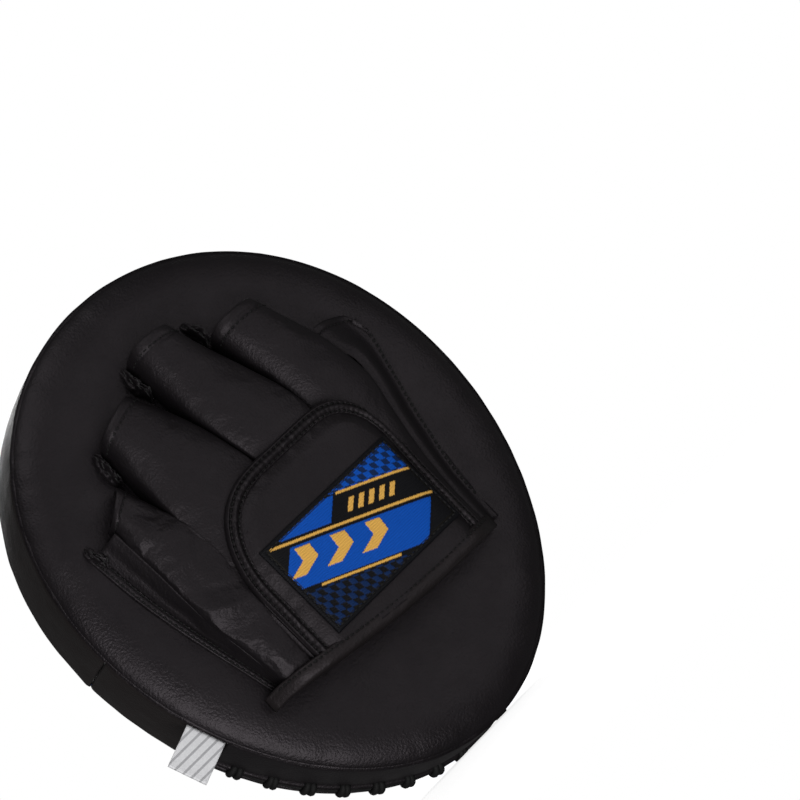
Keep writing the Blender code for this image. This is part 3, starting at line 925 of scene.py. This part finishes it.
def build_binding():
    """The rolled strip round the wrist edge with a tail at each end."""
    tail, tail_slope = 5.0, 1.1
    half_width, half_depth = 3.5, 4.3
    steps = 28
    share = np.linspace(0.0, 1.0, 90)
    ends = np.minimum(1.0, 0.35 + 6 * np.minimum(share, 1 - share))
    x = between(COVER_LEFT - tail, COVER_RIGHT + tail, share)
    inside = np.clip(x, COVER_LEFT, COVER_RIGHT)
    depth = arch(inside) - 0.2 - tail_slope * np.abs(x - inside)
    z = wrist_edge(inside) + 2.5
    turn = 2 * math.pi * np.arange(steps) / steps
    flat, tall = squarish(turn, (0.6, 0.7))
    thick = half_depth * ends[:, None] + 0.22 * noise(x[:, None] + turn * 2, turn * 3, 3.4, 71)
    thick = thick - 0.5 * bump(flat - 0.55, 0.12) * (tall > 0)
    wide = half_width * (0.85 + 0.15 * ends[:, None])
    points = at(x[:, None], depth[:, None] + thick * tall, z[:, None] + wide * flat)
    faces = tube_faces(len(x), steps)
    surface = black_leather("binding", 0.002)
    made = mesh_object("binding", points.reshape(-1, 3), faces, surface)
    face_out(made)
    dress(made, FLAP, "wrist_binding")
    line = at(x, depth + half_depth * ends - 0.15, z + 1.7)[(share > 0.03) & (share < 0.97)]
    sew("binding", [(line, OUT_OF_PAD)], FLAP)


def wall(name, node, foot, top, seed, surface, folds=1.0):
    """A soft leather wall between places along the pad and places up on the hand cover."""
    foot, top = (along_line(at(*np.transpose(line)), 90) for line in (foot, top))
    share = shares(24)
    points = between(foot, top, share[..., None])
    along = points[..., 2]
    hang = 0.9 * noise(along * 0.5, share * 12, 5.0, seed) * np.sin(math.pi * share)
    pleat = -1.5 * bump(share - 0.45, 0.16) * (0.6 + 0.4 * noise(along, 0.0, 14.0, seed + 1))
    points = points + folds * np.stack([0.6 * hang, -(hang + pleat), 0 * hang], axis=-1)
    made = sheet(name, points, surface, LEATHER, (0.0, -45.0, 0.0))
    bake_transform(made)
    dress(made, node=node)


def build_walls():
    """The pleated gusset on the little finger's side and the small web beside the thumb."""
    foot = [(-70.6, 50, 36), (-68.3, 50, 12), (-64.4, 50, -10), (-59.8, 50, -32)]
    foot.append((-56.5, 50.5, -48))
    top = [(-62.8, 59, 37), (-62.3, 60, 15), (-62, 60, -9), (-59, 58.5, -31), (-55.8, 57, -50)]
    wall("side_gusset", "little_side_gusset", foot, top, 81, black_leather("gusset"))
    foot = [(57.5, 50, 22), (55.5, 50, 4), (52.5, 50, -20), (50.5, 50, -57)]
    top = [(52, 60, 22), (50.5, 59, 4), (49, 57, -20), (47.5, 55.5, -57)]
    wall("thumb_side_web", "thumb_web", foot, top, 85, black_leather("web"), folds=0.4)
    build_hem()


def build_hem():
    """The flat hem of the gusset on the pad, sewn down with two rows."""
    outer = along_line([(-74.5, 38), (-72, 13), (-67.6, -11), (-62.2, -34), (-58.8, -49)], 90)
    inner = along_line([(-69.8, 37), (-67.6, 12), (-63.6, -10), (-58.9, -32), (-55.8, -48)], 90)
    rows = (0.28, 0.75)
    share = shares(12)
    x, z = np.moveaxis(between(outer, inner, share[..., None]), -1, 0)
    ridge = 0.9 * np.sqrt(np.minimum(1.0, share * 6))
    ridge = ridge - 0.35 * sum(bump(share - row, 0.09) for row in rows)
    points = at(x, PAD_BACK + 0.15 + ridge + 0.12 * noise(x, z, 5.0, 88), z)
    made = sheet("gusset_hem", points, black_leather("hem"), 0.7, (-60.0, -40.0, 0.0))
    dress(made, PAD)
    lines = []
    for row in rows:
        x, z = between(outer, inner, row).T
        lines.append((at(x, PAD_BACK + 0.85, z), OUT_OF_PAD))
    sew("hem", lines, PAD)


# ------------ finger stalls

# Stations from base to tip: left x and z, right x and z, height above the pad
STALLS = {
    "index": [
        (30, -57, 50.5, -57, 8), (30, -40, 50.5, -38, 10),
        (28, -18, 52.5, -18, 12), (28, 2, 56.5, 2, 13.5),
        (28, 18, 59.3, 17, 14.5), (26.5, 38, 57, 35, 15.5),
        (24.5, 53, 52, 51, 15.5), (23, 66.5, 47, 66, 14),
    ],
    "middle": [
        (-3, -4, 27, -4, 15), (-3.5, 20, 28, 20, 17),
        (-6, 36, 26.5, 34, 17), (-8, 52, 23, 49, 16.5),
        (-8.5, 68, 18, 65, 16), (-8, 82, 13.5, 80, 15),
    ],
    "ring": [
        (-43, -32, -4, -26, 14), (-43, -6, -4, 0, 16),
        (-43, 12, -3.5, 18, 16), (-42.5, 27, -6, 32, 16),
        (-42, 41, -8.5, 46, 16), (-41.5, 53, -13, 60, 15.5),
        (-40.5, 64, -18, 71, 14),
    ],
    "little": [
        (-56.5, -50, -38, -56, 14), (-59, -30, -39, -32, 15.5),
        (-62, -10, -40, -12, 15.5), (-62, 18, -41.5, 17, 15),
        (-62.5, 30, -43.5, 34, 14), (-61, 39.5, -47.5, 49.5, 12),
    ],
    "thumb": [
        (49, -58, 57.5, -59, 4.5), (50, -34, 59.5, -34, 5.5),
        (53.6, -8, 65, -9, 6.5), (57.5, 6, 69, 5, 7),
        (59.6, 17, 72, 15, 7), (59.2, 26, 74.5, 23, 7),
        (53.8, 33, 75.5, 29, 7), (54, 40, 73.5, 36, 6.5),
    ],
}
TIP_BOW = {"index": 3.5, "middle": 3.0, "ring": 3.0, "little": 1.0, "thumb": 5.0}
# How high the seams to the next fingers stay at the base, as a share of the height, left and
# right, and how far along the stall they start to drop
SEAM_RISE = {
    "index": (0.78, 0.25, 0.3),
    "middle": (0.78, 0.78, 0.3),
    "ring": (0.8, 0.78, 0.45),
    "little": (0.62, 1.0, 0.6),
}
# The little finger's stall is the slackest and has the deepest folds
FOLDS, LITTLE_FOLDS = 0.35, 0.95
SLACK, LITTLE_SLACK = 0.002, 0.012
HEM = 5.0
HEM_ROW = -7


def stall_rise(name, share, swing, dome):
    """Height of a stall across the finger as a share. The thumb's climbs from its sewn edge."""
    if name == "thumb":
        return 0.1 + 0.9 * smooth(0.75 * (1 - swing) - 0.18)
    left_rise, right_rise, drop_from = SEAM_RISE[name]
    closing = 1 - smooth((share - drop_from) / (0.95 - drop_from))
    seam = np.interp(swing, (-1, 1), (left_rise, right_rise)) * closing
    return seam + (1 - seam) * dome


def stall_surface(name, seed):
    """Points of a stall's outer side: rows along the finger, columns over the top."""
    rows, columns = 120, 61
    stations = along_line(STALLS[name], rows)
    left, right, height = stations[:, 0:2], stations[:, 2:4], stations[:, 4:]
    middle = (left + right) / 2
    half = (right - left) / 2
    forward = np.stack([-half[:, 1], half[:, 0]], axis=1)
    forward /= np.linalg.norm(forward, axis=1)[:, None]
    share = shares(rows)
    to_tip = (1 - share) * np.linalg.norm(middle[-1] - middle[0])
    swing, dome = squarish(np.linspace(0.0, math.pi, columns), (0.80, 0.60))
    along = middle[:, 1:]
    folds = LITTLE_FOLDS if name == "little" else FOLDS
    soft = folds * noise(along + swing * 6, swing * 7, 10.0, seed)
    soft = soft + 0.08 * noise(along, swing * 7, 3.6, seed + 1)
    hem = 0.5 * smooth((HEM - to_tip + 0.3) / 0.6) - 0.6 * bump(to_tip - HEM, 0.7)
    sink = 0.6 * smooth((2.0 - to_tip) / 2.0)
    lift = height * stall_rise(name, share, swing, dome) + (soft + hem - sink) * dome
    out = swing * (1 + 0.02 * hem)
    bow = TIP_BOW[name] * share**4 * dome
    x, z = (middle[:, [i]] + half[:, [i]] * out + forward[:, [i]] * bow for i in (0, 1))
    points = at(x, FLOOR + lift, z)
    parts = [wall_down(points[:, :1]), points]
    if name != "thumb":
        parts.append(wall_down(points[:, -1:])[:, ::-1])
    return np.concatenate(parts, axis=1)


def wall_down(edge):
    """Continues an edge straight down to the pad."""
    steps = np.linspace(0.0, 1.0, 5)[:-1][None, :, None]
    foot = edge * (1, 0, 1) - (0.0, FLOOR - 0.4, 0.0)
    return between(foot, edge, steps)


def sewn_edges(rows, columns):
    """1 where a stall is sewn: along both sides, at its base and at its hem."""
    along = np.arange(rows)[:, None] / (rows - 1)
    across = np.abs(np.arange(columns)[None] / (columns - 1) - 0.5) * 2
    held = np.clip((across - 0.72) / 0.16, 0, 1) + np.clip((along - 0.88) / 0.04, 0, 1)
    return np.clip(held + (along < 0.05), 0, 1).ravel()


def build_stall(name, seed):
    """One stall: a leather strip arched over the finger, sewn to the pad along both sides."""
    points = stall_surface(name, seed)
    under = points.mean(1) * (1, 0, 1)
    inside = under[len(points) // 2] + (0, -FLOOR, 0)
    made = sheet(name + "_sleeve", points, black_leather(name), LEATHER, inside)
    if name != "thumb":
        slack = LITTLE_SLACK if name == "little" else SLACK
        settle(made, sewn_edges(*points.shape[:2]), slack)
    dress(made, node=name + "_stall")
    hem = points[HEM_ROW, 6:] if name == "thumb" else points[HEM_ROW, 6:-6]
    outward = hem - under[HEM_ROW] - (0, -FLOOR + 2, 0)
    outward /= np.linalg.norm(outward, axis=1)[:, None]
    lines = [(hem, outward)]
    if name == "thumb":
        lines += [(points[8:-9, column], (0.1, -1.0, 0.0)) for column in (7, 14)]
    rows = sew(name, lines)
    for piece in (made, rows):
        if name == "thumb":
            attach(piece, PAD)
        else:
            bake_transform(piece)


def build_stalls():
    """Four finger stalls and the thumb sheath."""
    for seed, name in enumerate(STALLS):
        build_stall(name, 100 + 10 * seed)


def build_anchor(node, seed):
    """A bunched leather tab with a few threads over its folds, between two fingertips."""
    low, high = node_box(node)
    lean, extra, tall = (1.0, 1.0, 3.4) if node == "little_side_anchor" else (0.3, 6.0, 5.6)
    lean = lean * (high[0] - low[0] - 2.2)
    middle_x = (low[0] + high[0]) / 2
    share = shares(60)
    z = low[2] - extra / 2 + (high[2] - low[2] + extra) * share
    crest = np.sin(math.pi * np.clip(share, 0.03, 0.97)) ** 0.6
    angles = np.linspace(0.0, math.pi, 41)
    fold = 0.20 * np.cos(angles * 5 + 1.6 * np.sin(share * 5 + seed))
    crumple = 1 + fold + 0.20 * noise(z, angles * 4, 1.6, seed)
    x = middle_x - lean * (share - 0.5) + 0.7 * np.sin(share * 6 + seed)
    x = x - (0.8 + 1.2 * crest) * np.cos(angles) * crumple
    rise = (0.8 + tall * crest) * np.sin(angles) ** 0.8 * crumple
    points = at(x, PAD_BACK + rise - 0.4, z)
    tab = node.replace("_anchor", "_tab")
    inside = (middle_x, -PAD_BACK + 1, low[2] + 5)
    made = sheet(tab, points, black_leather(node), 0.6, inside)
    dress(made, PAD, node)
    steps = np.arange(9)
    paths = []
    for lane, start in ((13, 6), (20, 12), (27, 9)):
        for first in range(start, 50, 14):
            paths.append(points[first + steps, lane + steps // 5] + (0, -0.2, 0))
    cotton = thread(tab + "_cotton", 0.010)
    made = tubes(tab + "_thread", paths, [0.26] * len(paths), cotton, steps=6)
    dress(made, PAD)


def build_anchors():
    """The tabs that tie the seams between the fingertips down."""
    names = [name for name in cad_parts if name.endswith("_anchor")]
    for seed, node in enumerate(sorted(names)):
        build_anchor(node, 150 + seed)


# ------------ the studio, in metres

FLOOR_HALF = 0.9
LENS = 142.44
SENSOR = 36.0
CAMERA_PLACE = (-0.46900, -1.16962, -0.08785)
CAMERA_LOOK = (0.42866, 0.90068, 0.07091)
CAMERA_UP = (0.62268, -0.35140, 0.69914)
# Name, place, size and power of each soft square light. They all look at the mitt's middle.
LIGHTS = (
    ("key", (-0.95, -1.15, -0.65), 1.1, 23.0),
    ("top", (-0.3, -1.2, 1.7), 1.6, 13.0),
    ("fill", (1.0, -1.8, 0.1), 1.4, 7.5),
    ("front", (1.0, 1.8, 0.7), 1.6, 30.0),
)


def pale_paper(name):
    """Plain pale paper that fades into the white surround away from the mitt."""
    made = Nodes(name)
    length = made.add("ShaderNodeVectorMath", operation="LENGTH")
    made.put(length.inputs[0], made.place)
    fade = made.spread(length.outputs["Value"], 0.2, 0.7, 1.0, 0.0)
    base = made.mix(made.noise(3.0), grey(0.594), grey(0.6))
    return made.finish(base, 0.9, Alpha=fade, Emission_Color=grey(1.0), Emission_Strength=0.78)


def build_floor():
    """A wide floor under the rim that the mitt stands on."""
    half, z = FLOOR_HALF / MM, -HALF_LENGTH - 1.6
    corners = [(-half, -half, z), (half, -half, z), (half, half, z), (-half, half, z)]
    floor = mesh_object("floor", corners, [[0, 1, 2, 3]], pale_paper("floor_paper"))
    floor.visible_shadow = False
    floor.visible_diffuse = False
    floor.visible_glossy = False


def area_light(name, place, size, power):
    """A soft square light that looks at the origin."""
    lamp = bpy.data.lights.new(name, "AREA")
    lamp.shape = "SQUARE"
    lamp.size = size
    lamp.energy = power
    made = bpy.data.objects.new(name, lamp)
    made.location = place
    made.rotation_euler = (-Vector(place)).to_track_quat("-Z", "Y").to_euler()
    bpy.context.scene.collection.objects.link(made)


def build_world():
    """A white surround that the camera sees, dimmer as a light."""
    world = bpy.data.worlds.new("studio")
    bpy.context.scene.world = world
    world.use_nodes = True
    tree = world.node_tree
    back = tree.nodes["Background"]
    back.inputs["Color"].default_value = grey(1.0)
    path = tree.nodes.new("ShaderNodeLightPath")
    strength = tree.nodes.new("ShaderNodeMapRange")
    strength.inputs["To Min"].default_value = 0.12
    strength.inputs["To Max"].default_value = 1.0
    tree.links.new(path.outputs["Is Camera Ray"], strength.inputs["Value"])
    tree.links.new(strength.outputs["Result"], back.inputs["Strength"])


def build_camera():
    """The camera, rolled so that the fingers point to the upper left."""
    lens = bpy.data.cameras.new("camera")
    lens.lens = LENS
    lens.sensor_width = SENSOR
    lens.clip_start = 0.05
    camera = bpy.data.objects.new("camera", lens)
    look = Vector(CAMERA_LOOK).normalized()
    up = Vector(CAMERA_UP).normalized()
    turn = Matrix((look.cross(up), up, -look)).transposed()
    camera.matrix_world = Matrix.Translation(CAMERA_PLACE) @ turn.to_4x4()
    bpy.context.scene.collection.objects.link(camera)
    bpy.context.scene.camera = camera


def build_studio():
    build_floor()
    build_world()
    for light in LIGHTS:
        area_light(*light)
    build_camera()
    bpy.context.scene.view_settings.view_transform = "Standard"


build_pad()
build_lace()
build_label()
build_palm()
build_hand_back()
build_stalls()
build_anchors()
build_walls()
build_overlay()
build_patch()
build_binding()
build_studio()
